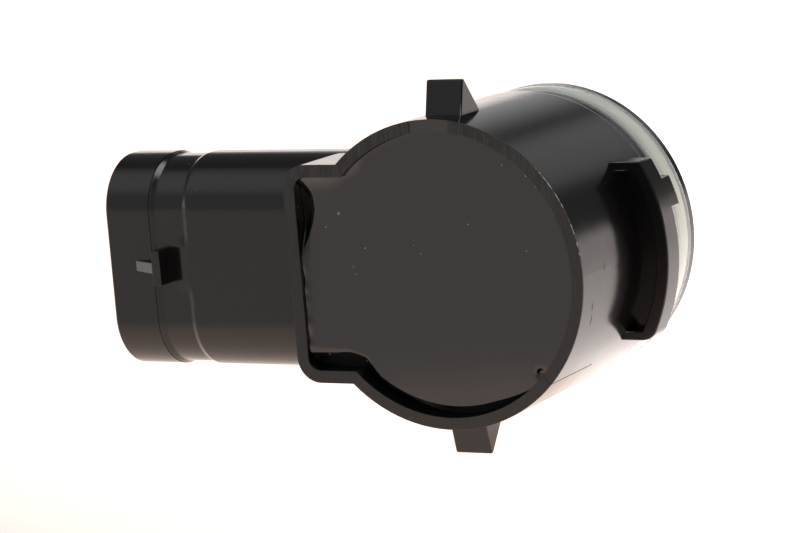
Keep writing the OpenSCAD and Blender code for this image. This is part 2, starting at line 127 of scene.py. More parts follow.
floor_gap = 0.05 * MM
floor_level = cad_box[0][2] - floor_gap
floor_radii = [0.05, 0.2, 0.5, 0.9, 1.3, 1.7, 2.0]
curl_start, curl_rise = 0.9, 0.09
floor_turns = full_turn(64)

bm = bmesh.new()
rings = []
for radius in floor_radii:
    share = max(0.0, (radius - curl_start) / (floor_radii[-1] - curl_start))
    height = floor_level + curl_rise * share ** 2
    rings.append([bm.verts.new((radius * math.cos(a), radius * math.sin(a), height)) for a in floor_turns])
bm.faces.new(rings[0])
for inner, outer in zip(rings, rings[1:]):
    bridge(bm, inner, outer)
floor = new_mesh_piece("paper_floor", bm)
print("floor lies at", round(floor_level / MM, 2), "mm")

# %% [markdown]
# ## A recipe for materials
# A finish in Blender is a small network of nodes. Wired line by line it soon gets too long to follow, so
# a helper makes a node, sets its values and links its inputs in one call. Inputs that share a name are
# asked for by number, as i0, i1 and so on. The paper's material is the first one, still empty.

# %% Start the paper's material
def node_adder(tree):
    """Returns add(kind, settings, **inputs): inputs are values, or sockets to link from."""
    def add(kind, settings=None, **inputs):
        made = tree.nodes.new(kind)
        for key, value in (settings or {}).items():
            setattr(made, key, value)
        for key, value in inputs.items():
            socket = made.inputs[int(key[1:])] if key[1:].isdigit() else made.inputs[key.replace("_", " ")]
            if isinstance(value, bpy.types.NodeSocket):
                tree.links.new(value, socket)
            else:
                socket.default_value = value
        return made
    return add


def new_material(name):
    """An empty node material and a function that adds nodes to it."""
    material = bpy.data.materials.new(name)
    material.use_nodes = True
    material.node_tree.nodes.clear()
    return material, node_adder(material.node_tree)


paper, add = new_material("glowing_paper")
floor.data.materials.append(paper)
print("material on the floor:", paper.name)

# %% [markdown]
# ## The glow of the paper
# The paper glows a little warm. It is brightest beside and behind the sensor, where nothing shades it,
# warmer in the sensor's own shade, dimmer far in front, where only the sensor's rear faces mirror it, and
# dimmest where the camera shades it. Lamps could shape that light, but soft steps along four distances,
# in metres, give the same without noise and without shadows.

# %% Make the paper glow
def math_node(add, operation, *values):
    """The result of one sum, product or comparison."""
    inputs = {f"i{k}": value for k, value in enumerate(values)}
    return add("ShaderNodeMath", {"operation": operation}, **inputs).outputs["Value"]


def soft_step(add, value, low, high, below=0.0, above=1.0):
    """A value that changes softly from one level to another between two limits."""
    step = add("ShaderNodeMapRange", {"interpolation_type": "SMOOTHSTEP"}, Value=value,
               From_Min=low, From_Max=high, To_Min=below, To_Max=above)
    return step.outputs["Result"]


def spread(add, value, low, high):
    """Maps 0 to 1 onto low to high."""
    return add("ShaderNodeMapRange", Value=value, To_Min=low, To_Max=high).outputs["Result"]


def blend(add, share, first, second):
    """Mixes two colours."""
    mixed = add("ShaderNodeMix", {"data_type": "RGBA"}, i0=share, i6=first, i7=second)
    return mixed.outputs[2]


def along(add, place, direction):
    """How far a place lies along a direction."""
    return add("ShaderNodeVectorMath", {"operation": "DOT_PRODUCT"}, i0=place, i1=direction).outputs["Value"]


to_back, to_side = (0.447, 0.894, 0.0), (0.9, 0.43, 0.0)
front_edge, shade_edge = (-0.06, -0.036), (-0.03, -0.015)
side_edge, camera_edge = (-0.002, 0.0075), (0.0, 0.035)
under_edge, far_edge = (0.014, 0.02), (0.03, 0.15)
front_glow, middle_glow, camera_side_glow = 0.82, 1.13, 0.6
under_glow, behind_glow, far_glow = 0.45, 0.8, 0.35
front_tint = (1.08, 0.985, 0.95, 1.0)
shade_tint = (1.3, 1.03, 0.9, 1.0)
paper_tint = (1.09, 0.985, 0.94, 1.0)

place = add("ShaderNodeTexCoord").outputs["Object"]
back = along(add, place, to_back)
side = along(add, place, to_side)
right = add("ShaderNodeSeparateXYZ", Vector=place).outputs["X"]
away = add("ShaderNodeVectorMath", {"operation": "LENGTH"}, i0=place).outputs["Value"]
near = soft_step(add, back, *front_edge)
beside = math_node(add, "MULTIPLY", soft_step(add, side, *side_edge),
                   soft_step(add, back, *shade_edge))
shaded_front = soft_step(add, right, *camera_edge, below=front_glow, above=camera_side_glow)
plain = spread(add, near, shaded_front, middle_glow)
behind = math_node(add, "ADD", soft_step(add, away, *under_edge, below=under_glow, above=0.0),
                   soft_step(add, away, *far_edge, below=behind_glow, above=far_glow))
behind = math_node(add, "MULTIPLY", beside, behind)
tint = blend(add, beside, blend(add, near, front_tint, shade_tint), paper_tint)
glow = add("ShaderNodeEmission", Color=tint, Strength=math_node(add, "ADD", plain, behind))
add("ShaderNodeOutputMaterial", Surface=glow.outputs["Emission"])
print("paper glows with", front_glow, "in front and", middle_glow, "near the sensor")

# %% [markdown]
# ## The studio
# Black plastic shows little colour of its own: almost all that the eye sees is the room mirrored in it,
# at four parts in a hundred. So the light is drawn as a room: dim, with a pale side in front on the left,
# a soft panel high above it, a faint panel behind and a bright ceiling. Each panel is a direction and a
# soft round edge in the world's own network, which costs no lamp and no noise. The sensor lay slightly
# tipped, so the paper's far edge stands higher on one side of it than our level floor does. The world
# carries that edge as a second, warm background.

# %% Light the room
def toward(azimuth, elevation):
    """Unit vector: azimuth turns from +Y to +X, elevation rises from the floor."""
    a, e = math.radians(azimuth), math.radians(elevation)
    return Vector((math.sin(a) * math.cos(e), math.cos(a) * math.cos(e), math.sin(e)))


room_dim = 0.13
# Each panel: its middle, the inner and outer angle of its soft edge in degrees, and its brightness.
panels = {
    "pale_side": (toward(-150, 15), 20, 75, 0.42),
    "high_panel": (toward(-122, 50), 6, 30, 0.42),
    "back_panel": (toward(9, 26), 3, 15, 0.42),
    "far_sweep": (toward(-20, 10), 4, 20, 0.5),
    "ceiling": (toward(0, 90), 4, 26, 4.5),
}
paper_up = Vector((0.165, -0.149, 1.0)).normalized()
paper_edge = 0.045
paper_glow = 1.5

world = bpy.data.worlds.new("studio")
world.use_nodes = True
world.node_tree.nodes.clear()
scene.world = world
add = node_adder(world.node_tree)
direction = add("ShaderNodeTexCoord").outputs["Generated"]
total = room_dim
for middle, inner, outer, brightness in panels.values():
    low, high = math.cos(math.radians(outer)), math.cos(math.radians(inner))
    lit = soft_step(add, along(add, direction, middle), low, high, below=0.0, above=brightness)
    total = math_node(add, "ADD", total, lit)
room = add("ShaderNodeBackground", Color=(1, 1, 1, 1), Strength=total)
tipped_paper = add("ShaderNodeBackground", Color=paper_tint, Strength=paper_glow)
below_edge = soft_step(add, along(add, direction, paper_up), -paper_edge, paper_edge, below=1.0, above=0.0)
studio = add("ShaderNodeMixShader", i0=below_edge, i1=room.outputs[0], i2=tipped_paper.outputs[0])
add("ShaderNodeOutputWorld", Surface=studio.outputs[0])
print("panels in the room:", len(panels))

# %% [markdown]
# ## Shading for rounded pieces
# The solids' edges are knife sharp, and a real mould never leaves an edge like that: the thin bright line
# along a rounded edge is what tells the eye that it sees plastic. But rounding upsets the shading of the
# long round walls beside it. A much finer mesh would hide that. It is simpler to let every face that still
# lies on the solid take its normals back from there.

# %% Take the shading from the solid
touch_gap = 0.01 * MM
same_way = 0.99


def keep_shading(piece, node_name):
    """Bakes the rounding, and gives each corner that still lies on the solid the solid's own shading."""
    baked = bpy.data.meshes.new_from_object(piece.evaluated_get(bpy.context.evaluated_depsgraph_get()))
    solid = nodes[node_name].data
    tree = BVHTree.FromPolygons([v.co for v in solid.vertices], [p.vertices for p in solid.polygons])
    shading = [Vector(corner.vector) for corner in baked.corner_normals]
    for face in baked.polygons:
        for corner in face.loop_indices:
            spot = baked.vertices[baked.loops[corner].vertex_index].co
            touching = tree.find_nearest_range(spot, touch_gap)
            touching = [found for found in touching if found[1].dot(face.normal) > same_way]
            if touching:
                best = max(touching, key=lambda found: found[1].dot(face.normal))
                triangle = solid.polygons[best[2]]
                shares = poly_3d_calc([solid.vertices[v].co for v in triangle.vertices], best[0])
                parts = [Vector(solid.corner_normals[c].vector) * share
                         for c, share in zip(triangle.loop_indices, shares)]
                shading[corner] = sum(parts, Vector()).normalized()
    baked.normals_split_custom_set(shading)
    piece.modifiers.clear()
    piece.data = baked


print("the housing's solid can lend the shading of", len(nodes["housing"].data.polygons), "triangles")

# %% [markdown]
# ## Rounded edges
# One could round edges with a shader trick, but real geometry also holds up in a print or in another
# program. So we copy a solid's mesh, weld it, join the flat triangles into whole faces, and give each sharp
# outward edge its own rounding as a weight, which the bevel modifier reads.

# %% Prepare the rounding
weld_gap = 0.001 * MM
flat_angle, sharp_angle = math.radians(0.4), math.radians(28)
rounding_steps = 3


def rounded_piece(name, node_name, widest, rounding):
    """A copy of a solid whose outward edges are rounded by rounding(middle of the edge), in mm."""
    bm = bmesh.new()
    bm.from_mesh(nodes[node_name].data)
    bmesh.ops.remove_doubles(bm, verts=bm.verts, dist=weld_gap)
    bmesh.ops.dissolve_limit(bm, angle_limit=flat_angle, verts=bm.verts, edges=bm.edges)
    weights = bm.edges.layers.float.new("bevel_weight_edge")
    count = 0
    for edge in bm.edges:
        if edge.calc_face_angle() > sharp_angle:
            middle = (edge.verts[0].co + edge.verts[1].co) / 2 / MM
            edge[weights] = rounding(middle) / widest if edge.is_convex else 0
            edge.smooth = edge.is_convex
            count += edge.is_convex
    for face in bm.faces:
        face.smooth = True
    piece = new_mesh_piece(name, bm)
    bevel = piece.modifiers.new("rounded_edges", "BEVEL")
    bevel.limit_method = "WEIGHT"
    bevel.width = widest * MM
    bevel.segments = rounding_steps
    bevel.use_clamp_overlap = False
    normals = piece.modifiers.new("even_shading", "WEIGHTED_NORMAL")
    normals.keep_sharp = True
    keep_shading(piece, node_name)
    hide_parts(node_name)
    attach(piece, "root")
    print(name, "has", len(piece.data.polygons), "faces and", count, "rounded edges")
    return piece


print("edges sharper than", round(math.degrees(sharp_angle)), "degrees get rounded")

# %% [markdown]
# ## The moulded housing
# Barrel, connector, lugs and flange come out of one mould, so they are one piece. Its roundings are wide at
# the connector's mouth and the lugs, and hardly there at the rim, which a cutter has left sharp. The
# groove's two edges stay as they are, because a sleeve covers them later. We could pick each edge by
# hand, but where an edge lies already tells what it belongs to.

# %% Round the housing's edges
rim_y = cad_box[0][1] / MM
mouth_x = cad_box[0][0] / MM
shoulder_x, stem_edge_x = -26.32, -22.82
barrel_r = 11.5
connector_from_x, lug_half_x, flange_from_x = -14, 2, 5
rim_reach, mouth_reach, groove_reach, wall_reach = 0.2, 0.4, 0.05, 0.2
widest_rounding, mouth_rounding, lug_rounding, flange_rounding = 0.3, 0.28, 0.14, 0.1
connector_rounding, rim_rounding, plain_rounding = 0.06, 0.03, 0.02


def housing_rounding(middle):
    """Rounding of a housing edge in mm, by where its middle lies."""
    x, y, z = middle
    stands_out = math.hypot(x, z) > barrel_r + wall_reach
    if y < rim_y + rim_reach:
        return rim_rounding
    if x < mouth_x + mouth_reach:
        return mouth_rounding
    if min(abs(x - stem_edge_x), abs(x - shoulder_x)) < groove_reach:
        return 0.0
    if x < connector_from_x:
        return connector_rounding
    if stands_out and abs(x) < lug_half_x:
        return lug_rounding
    if stands_out and x > flange_from_x:
        return flange_rounding
    return plain_rounding


housing = rounded_piece("housing_moulding", "housing", widest_rounding, housing_rounding)

# %% [markdown]
# ## Where the marks lie
# A cutter has faced the rear rim, the gate where the plastic entered the mould is torn, and the latch's rib
# is pale: partly rubbed by the plug, and partly a painted highlight for the bright floor that its slope
# mirrors. Such marks could be painted into a picture, but all of them follow from where a point lies. So
# the material asks for its place in millimetres, and a comparison node works as a mask: it gives one near
# a chosen value and zero elsewhere.

# %% Mark the places on the housing
def place_in_mm(add):
    """The place of a point in mm, and its three parts."""
    metres = add("ShaderNodeTexCoord").outputs["Object"]
    place = add("ShaderNodeVectorMath", {"operation": "SCALE"}, i0=metres, Scale=1 / MM).outputs["Vector"]
    parts = add("ShaderNodeSeparateXYZ", Vector=place)
    return place, parts.outputs["X"], parts.outputs["Y"], parts.outputs["Z"]


def both(add, first, second):
    """A mask that holds where two masks hold."""
    return math_node(add, "MULTIPLY", first, second)


def close_to(add, value, middle, reach):
    """A mask that holds within reach of a value."""
    return math_node(add, "COMPARE", value, middle, reach)


faced_depth, gate_half = 0.15, 1.6
rib_middle_x, rib_half_l, latch_middle_z, rib_half_w = -26.82, 1.05, 0.1, 0.4
connector_face_y, rib_foot = -18.3, 0.03

plastic, add = new_material("housing_plastic")
housing.data.materials.append(plastic)
place, x, y, z = place_in_mm(add)
rim = close_to(add, y, rim_y, faced_depth)
cut_share = both(add, rim, soft_step(add, z, low=2.0, high=9.0, below=0.25, above=1.0))
right_of_rim = both(add, rim, math_node(add, "GREATER_THAN", x, 0.0))
top_of_rim = both(add, rim, math_node(add, "GREATER_THAN", z, 0.0))
gate = both(add, top_of_rim, close_to(add, x, 0.0, gate_half))
on_rib = both(add, close_to(add, x, rib_middle_x, rib_half_l), close_to(add, z, latch_middle_z, rib_half_w))
# The rib's pale tone is partly wear from the plug and partly a painted highlight.
rubbed_and_highlight = both(add, on_rib, math_node(add, "LESS_THAN", y, connector_face_y - rib_foot))
print("masks for the rim, a gate", 2 * gate_half, "mm wide and a rib", 2 * rib_half_l, "mm long")

# %% [markdown]
# ## Housing plastic
# The plastic is black all through, with the satin skin of a worn mould: cloudy changes of gloss, a fine
# grain, and a little dust. The rim is duller, with upright streaks from the cutter, and two hairline seams
# cross it. A plain black would show none of that, so noise of several sizes drives the gloss, the colour
# and a relief that is finer than the mesh.

# %% Finish the housing
def cloud(add, place, size, detail=3.0, stretch=(1, 1, 1)):
    """Noise from 0 to 1 with patches of a given size in mm, drawn out along the axes by stretch."""
    per_mm = [1 / (size * s) for s in stretch]
    scaled = add("ShaderNodeVectorMath", {"operation": "MULTIPLY"}, i0=place, i1=per_mm).outputs["Vector"]
    return add("ShaderNodeTexNoise", Vector=scaled, Scale=1.0, Detail=detail).outputs["Fac"]


def dust(add, place, cell, size, share):
    """Mask of small specks: one may lie in each cell of a given width, and only a share do."""
    scaled = add("ShaderNodeVectorMath", {"operation": "SCALE"}, i0=place, Scale=1 / cell).outputs["Vector"]
    cells = add("ShaderNodeTexVoronoi", Vector=scaled, Scale=1.0)
    close = math_node(add, "LESS_THAN", cells.outputs["Distance"], size / cell)
    lot = add("ShaderNodeSeparateColor", Color=cells.outputs["Color"]).outputs["Red"]
    return both(add, close, math_node(add, "LESS_THAN", lot, share))


def relief(add, height, strength, depth, **under):
    """Normals of a fine relief of a given depth in mm, laid over another one's, if given."""
    bump = add("ShaderNodeBump", Strength=strength, Distance=depth * MM, Height=height, **under)
    return bump.outputs["Normal"]


def surface(add, **inputs):
    """Ends a material with a principled shader."""
    shader = add("ShaderNodeBsdfPrincipled", **inputs)
    add("ShaderNodeOutputMaterial", Surface=shader.outputs["BSDF"])


seam_normals = [(-0.695, 0.0, 0.719), (0.682, 0.0, 0.731)]
seam_half = 0.05
cut_relief = 7.0
plastic_black = (0.0035, 0.0033, 0.0032, 1)
torn_plastic = (0.03, 0.029, 0.028, 1)
# Pale tone of the latch's rib: rubbed plastic, and a painted highlight for the bright floor its slope
# mirrors.
rubbed_and_highlight_plastic = (0.1, 0.096, 0.092, 1)
dust_grey = (0.14, 0.135, 0.13, 1)

streaks = cloud(add, place, size=0.12, detail=2.0, stretch=(1, 1, 12))
grain = cloud(add, place, size=0.11, detail=2.0)
satin = spread(add, cloud(add, place, size=1.4), low=0.1, high=0.21)
faced = both(add, rim, spread(add, streaks, low=0.1, high=0.4))
specks = dust(add, place, cell=1.7, size=0.045, share=0.3)
cut_marks = both(add, cut_share, soft_step(add, streaks, low=0.42, high=0.66, below=0.0, above=0.6))
colour = blend(add, math_node(add, "MAXIMUM", gate, cut_marks), plastic_black, torn_plastic)
colour = blend(add, rubbed_and_highlight, colour, rubbed_and_highlight_plastic)
colour = blend(add, specks, colour, dust_grey)
cut_skin = math_node(add, "MULTIPLY_ADD", both(add, cut_share, streaks), cut_relief, grain)
skin = relief(add, cut_skin, strength=0.1, depth=0.01)
for across in seam_normals:
    off_seam = math_node(add, "ABSOLUTE", along(add, place, across))
    hairline = soft_step(add, off_seam, low=0.0, high=seam_half)
    crack = math_node(add, "MAXIMUM", hairline, math_node(add, "SUBTRACT", 1.0, right_of_rim))
    skin = relief(add, crack, strength=0.8, depth=0.06, Normal=skin)
surface(add, Base_Color=colour, Roughness=math_node(add, "ADD", satin, faced), IOR=1.46, Normal=skin)
print("plastic with a faced rim and", len(seam_normals), "seams")

# %% [markdown]
# ## The connector's outline
# Behind the connector's collar runs a shallow groove for the plug's seal. To lay something into it, we need
# the connector's outline, a tall box with round corners. A curve could draw it, but a list of places can
# carry more: which way is outward, and how much of each place lies behind the latch, where the groove is
# different. So we walk round the outline a quarter at a time.

# %% Walk round the connector
def ease(value, low, high):
    """Rises softly from 0 at low to 1 at high."""
    share = min(1.0, max(0.0, (value - low) / (high - low)))
    return share * share * (3 - 2 * share)


def evenly(start, end, steps):
    """Even stations from start to end."""
    return [start + (end - start) * k / steps for k in range(steps + 1)]


connector_middle_y = -13.6
connector_half_y, connector_half_z, connector_corner = 4.7, 8.35, 4.3
latch_clear, latch_fade = 2.5, 1.2
corner_steps, latch_steps = 14, 16
nudge = 0.01


def behind_latch(z):
    """1 behind the latch, falling softly to 0 beside it."""
    return ease(latch_clear - abs(z - latch_middle_z), 0.0, latch_fade)


outline = []
for quarter in range(4):
    side_y = 1 if quarter in (0, 3) else -1
    side_z = 1 if quarter < 2 else -1
    middle = Vector((0, connector_middle_y + side_y * (connector_half_y - connector_corner),
                     side_z * (connector_half_z - connector_corner)))
    for angle in evenly(math.radians(90 * quarter), math.radians(90 * (quarter + 1)), corner_steps):
        out = Vector((0, math.cos(angle), math.sin(angle)))
        outline.append((middle + out * connector_corner, out, 0.0, 0.0))
    if quarter == 1:
        for z in evenly(latch_middle_z + latch_clear, latch_middle_z - latch_clear, latch_steps):
            change = (behind_latch(z + nudge) - behind_latch(z - nudge)) / (2 * nudge)
            spot = Vector((0, connector_middle_y - connector_half_y, z))
            outline.append((spot, Vector((0, -1, 0)), behind_latch(z), change))
print("places round the connector:", len(outline))

# %% [markdown]
# ## The groove's run-outs
# In the mould the groove's shoulders are softly run out, while the solid has square ones. A bevel can only
# take plastic away, so the run-outs are a sleeve that lies in the groove. A formula gives its depth at each
# place along the connector, and each place becomes one ring round the outline. Behind the latch the
# run-out is long and flat. We know how the surface leans at each corner, so we hand Blender the true
# normals instead of letting it guess them.

# %% Lay the sleeve in the groove
def shell_piece(name, bm, material, smooth=False):
    """Makes a closed shell a piece of the sensor: turned outward, on its body, with its finish."""
    bmesh.ops.recalc_face_normals(bm, faces=bm.faces)
    for face in bm.faces:
        face.smooth = smooth and len(face.verts) == 4
    piece = new_mesh_piece(name, bm)
    piece.data.materials.append(material)
    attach(piece, "root")
    return piece


groove_depth, stem_depth, shoulder_depth, sleeve_foot = 0.215, 0.03, 0.045, 0.35
run_out, latch_back_x = 0.6, -24.9
run_out_steps, middle_steps = 8, 5
shoulder_end, stem_start = shoulder_x + run_out, stem_edge_x - run_out


def sleeve_depth(x, behind):
    """Depth of the sleeve under the outline in mm: behind is 1 behind the latch, 0 beside it."""
    depth = shoulder_depth + (groove_depth - shoulder_depth) * ease(x, shoulder_x, shoulder_end)
    short_rise, long_rise = ease(x, stem_start, stem_edge_x), ease(x, latch_back_x, stem_edge_x)
    return depth + (stem_depth - groove_depth) * (short_rise + (long_rise - short_rise) * behind)


places = evenly(shoulder_x, shoulder_end, run_out_steps)
places += evenly(shoulder_end, stem_start, middle_steps)[1:-1]
places += evenly(stem_start, stem_edge_x, run_out_steps)
bm = bmesh.new()
rings, leans = [], []
for x in places:
    ring = []
    for spot, out, behind, change in outline:
        slope = (sleeve_depth(x + nudge, behind) - sleeve_depth(x - nudge, behind)) / (2 * nudge)
        slope_z = change * (sleeve_depth(x, 1.0) - sleeve_depth(x, 0.0))
        ring.append(bm.verts.new((spot - out * sleeve_depth(x, behind) + Vector((x, 0, 0))) * MM))
        leans.append((out + Vector((slope, 0, slope_z))).normalized())
    rings.append(ring)
for x in (stem_edge_x, shoulder_x):
    feet = [row[0] - row[1] * sleeve_foot + Vector((x, 0, 0)) for row in outline]
    rings.append([bm.verts.new(foot * MM) for foot in feet])
    leans += [-row[1] for row in outline]
for first, second in zip(rings, rings[1:] + rings[:1]):
    bridge(bm, first, second)
sleeve = shell_piece("groove_run_out", bm, plastic, smooth=True)
sleeve.data.normals_split_custom_set_from_vertices(leans)
print("sleeve in the groove with", len(rings), "rings")

# %% [markdown]
# ## Parting line and scratches
# Where the two halves of the mould met, a fine ridge runs along the barrel, and handling has left a few
# scratches with raised lips. A bump in the material would be lost in a print, so each is a row of
# three-cornered stations, two feet in the plastic and a crest, which one function joins.

# %% Raise the ridges
def on_barrel(angle, y, lift):
    """A point on the barrel's wall: angle in degrees from +X to +Z, y and lift in mm."""
    a = math.radians(angle)
    return Vector(((barrel_r + lift) * math.cos(a), y, (barrel_r + lift) * math.sin(a))) * MM


def ridge(bm, stations):
    """Joins stations of foot, crest and foot into a closed ridge."""
    rows = [[bm.verts.new(corner) for corner in station] for station in stations]
    for first, second in zip(rows, rows[1:]):
        bridge(bm, first, second)
    bm.faces.new(rows[0])
    bm.faces.new(rows[-1])


parting_angle, parting_half, parting_end_y, parting_steps = -43.0, 0.15, -13.8, 40
parting_crest, parting_wave, parting_sink, parting_gap = 0.03, 0.015, 0.005, 0.05
scratch_crest, scratch_end, scratch_sink, scratch_wander, scratch_steps = 0.02, 0.002, 0.004, 0.03, 10
scratches = [
    ((-15.3, -18.65), (-20.5, -18.55)), ((-10.5, -18.85), (-14.5, -18.75)), ((2.0, -16.9), (-1.0, -16.95)),
    ((28.0, -14.0), (28.8, -12.4)), ((26.0, -14.6), (26.4, -13.7)),
]


def scratch(bm, start, end):
    """A ridge between two (angle, y) places on the barrel, low at both ends."""
    per_mm = math.degrees(1 / barrel_r)
    course = Vector(((end[0] - start[0]) / per_mm, end[1] - start[1])).normalized() * scratch_crest
    stations = []
    for t in evenly(0.0, 1.0, scratch_steps):
        angle, y = start[0] + (end[0] - start[0]) * t, start[1] + (end[1] - start[1]) * t
        y += scratch_wander * noise.noise(Vector((angle, y, 4.0)))
        stations.append([on_barrel(angle + course[1] * per_mm, y - course[0], -scratch_sink),
                         on_barrel(angle, y, scratch_crest * math.sin(math.pi * t) + scratch_end),
                         on_barrel(angle - course[1] * per_mm, y + course[0], -scratch_sink)])
    ridge(bm, stations)


bm = bmesh.new()
stations = []
for y in evenly(rim_y + parting_gap, parting_end_y, parting_steps):
    crest = parting_crest + parting_wave * noise.noise(Vector((y * 2, 0, 1)))
    stations.append([on_barrel(parting_angle - parting_half, y, -parting_sink),
                     on_barrel(parting_angle, y, crest),
                     on_barrel(parting_angle + parting_half, y, -parting_sink)])
ridge(bm, stations)
for start, end in scratches:
    scratch(bm, start, end)
shell_piece("parting_line", bm, plastic)
print("parting line and", len(scratches), "scratches on the barrel")

# %% [markdown]
# ## The burr on the rim
# The cutter that faced the rim has pushed up a pale, broken burr on its upper right edge. A pale line could
# stand for it, but a burr catches light because it stands up. So it is one more ridge with an uneven
# crest, in torn black and pale patches: the white of stretched plastic, together with a painted highlight
# for the light that the burr's edge catches.

# %% Raise the burr
burr_from, burr_to, burr_steps = 46.0, 8.0, 90
burr_crest, burr_wave, burr_wave_length = 0.035, 0.03, 1.7
burr_back, burr_top, burr_front = 0.12, 0.02, 0.002
burr_back_sink, burr_front_sink = 0.01, 0.05
# Pale tone of the burr: stretched plastic, and also a painted highlight.
stretched_white_and_highlight = (0.42, 0.41, 0.4, 1)

burr_wear_and_highlight, add = new_material("burr_plastic_and_highlight")
patches = cloud(add, place_in_mm(add)[0], size=0.45, detail=4.0)
broken = soft_step(add, patches, low=0.42, high=0.6)
# Pale patches on the burr: stretched plastic, and a painted highlight for the light its edge catches.
surface(add, Base_Color=blend(add, broken, torn_plastic, stretched_white_and_highlight), Roughness=0.55)

bm = bmesh.new()
stations = []
for angle in evenly(burr_from, burr_to, burr_steps):
    crest = burr_crest + burr_wave * noise.noise(Vector((angle / burr_wave_length, 0, 7)))
    stations.append([on_barrel(angle, rim_y + burr_back, -burr_back_sink),
                     on_barrel(angle, rim_y + burr_top, crest),
                     on_barrel(angle, rim_y + burr_front, -burr_front_sink)])
ridge(bm, stations)
shell_piece("rim_burr", bm, burr_wear_and_highlight)
print("burr from", burr_from, "to", burr_to, "degrees round the rim")

# %% [markdown]
# ## Resin
# Cured resin is glossier than the moulding, so it mirrors the paper in front of it as an even grey, with
# faint clouds where it set unevenly and specks of dust. One gloss for the whole face would look like
# glass, so a cloud of a few millimetres changes it.

# %% Finish the resin
resin_black = (0.004, 0.0037, 0.0036, 1)
resin_gloss = (0.07, 0.17)

potting, add = new_material("potting_resin")
place = place_in_mm(add)[0]
specks = dust(add, place, cell=1.3, size=0.05, share=0.35)
surface(add, Base_Color=blend(add, specks, resin_black, dust_grey), IOR=1.58,
        Roughness=spread(add, cloud(add, place, size=1.8, detail=4.0), *resin_gloss),
        Normal=relief(add, cloud(add, place, size=0.5), strength=0.05, depth=0.02))


def dress(material, *names):
    """Gives CAD nodes a finish through their material slots."""
    for name in names:
        for slot in nodes[name].material_slots:
            slot.material = material


dress(potting, "potting_fill")
print("resin roughness from", resin_gloss[0], "to", resin_gloss[1])

# %% [markdown]
# ## The chamber's wall
# The rear chamber is a round bore with a box beside it, and the resin's skin has to meet its wall all
# round. Corners could be listed by hand, but seen from the bore's axis each direction meets the wall just
# once. So one function gives the distance: the bore's radius, or the box's sides and round corners where
# they lie further out.

# %% Measure to the chamber's wall
chamber_r = 10.6
box_inner_x, box_half_h, box_corner = 11.72, 7.3, 0.95
least = 1e-6


def chamber_edge(angle):
    """Distance from the axis to the chamber's wall, in mm."""
    c, s = math.cos(angle), math.sin(angle)
    if c >= 0:
        return chamber_r
    to_wall = min(box_inner_x / -c, box_half_h / max(abs(s), least))
    middle_x, middle_z = box_inner_x - box_corner, box_half_h - box_corner
    if -c * to_wall > middle_x and abs(s) * to_wall > middle_z:
        along_line = -c * middle_x + abs(s) * middle_z
        off_line = middle_x ** 2 + middle_z ** 2 - along_line ** 2
        to_wall = along_line + math.sqrt(box_corner ** 2 - off_line)
    return max(chamber_r, to_wall)


print("from the axis to the box's side wall:", round(chamber_edge(math.pi), 2), "mm")

# %% [markdown]
# ## The resin's level
# The resin was poured in liquid, and it has not set level. It stands higher towards the box's side wall and
# climbs it, with a thin ragged line where it touches. In the upper left it left a hollow, so a dark wedge
# of bare wall shows there, and it crept up the upper wall. Below, it drew back from the wall and left a
# moat, and one bubble has burst near it. A simulation would never give just this surface, so the level is
# a sum of small rises and hollows, each a height in millimetres times a soft share from 0 to 1.

# %% Find the resin's level
def fade(value, low, high):
    """Falls softly from 1 at low to 0 at high."""
    return 1.0 - ease(value, low, high)


pool_y, pool_rise, highest, skin_t = -19.1, 0.2, 1.4, 0.02
poured_rise, poured_span_x = 0.4, (-11.7, 4.0)
swell, swell_length = 0.01, 4.0
climb_rise, climb_reach, climb_span_z = 0.6, 0.6, (1.0, 4.2)
ragged_depth, ragged_reach, ragged_length, ragged_span_z = 0.25, 0.15, 0.9, (0.4, 2.2)
hollow_depth, hollow_width, full_hollow_width, least_hollow = 0.35, 1.3, 0.8, 0.02
hollow_foot_z, hollow_length, hollow_lean, hollow_soft = 1.3, 3.4, 0.85, 0.8
box_creep, bore_creep, creep_reach, box_creep_span_x = 0.7, 0.35, 1.0, (-9.5, -6.0)
bore_creep_start, bore_creep_end = (1.3, 1.9), (2.2, 2.38)
moat_width, moat_widening, least_moat = 0.6, 0.8, 0.001
moat_start, moat_span_x, box_from_x = (0.85, 1.3), (-9.0, -6.0), -5
bubble_x, bubble_z, bubble_r, bubble_depth = 6.95, -7.35, 0.24, 0.35


def side_wall_level(x, z):
    """What the box's side wall adds: the climb, less the ragged line and the hollow."""
    from_side, from_top = x + box_inner_x, box_half_h - z
    climb = climb_rise * math.exp(-from_side / climb_reach) * fade(z, *climb_span_z)
    torn = max(0.0, 0.25 + noise.noise(Vector((3.1, z / ragged_length, 0.0))))
    ragged = ragged_depth * torn * math.exp(-from_side / ragged_reach) * fade(z, *ragged_span_z)
    wide = hollow_width * min(1.0, max(least_hollow, (z - hollow_foot_z) / hollow_length))
    hollow = hollow_depth * min(1.0, wide / full_hollow_width) * fade(from_side, wide / 4, wide)
    hollow *= ease(from_top - hollow_lean * from_side, 0.0, hollow_soft)
    return climb - ragged - hollow


def upper_wall_level(x, z):
    """What the upper walls add: the resin crept up the box's and a part of the bore's."""
    from_top, from_round = box_half_h - z, max(chamber_r - math.hypot(x, z), 0.0)
    angle = math.atan2(z, x)
    in_box = box_creep * math.exp(-from_top / creep_reach) * fade(x, *box_creep_span_x)
    in_bore = bore_creep * math.exp(-from_round / creep_reach)
    return in_box + in_bore * ease(angle, *bore_creep_start) * fade(angle, *bore_creep_end)


def past_moat(x, z):
    """Share of the level that is left: 0 at the lower wall, 1 past the moat."""
    width = ease(-math.atan2(z, x), *moat_start) * (moat_width + moat_widening * fade(x, *moat_span_x))
    from_wall = max(chamber_r - math.hypot(x, z), z + box_half_h if x < box_from_x else 0.0)
    return min(1.0, from_wall / max(width, least_moat))


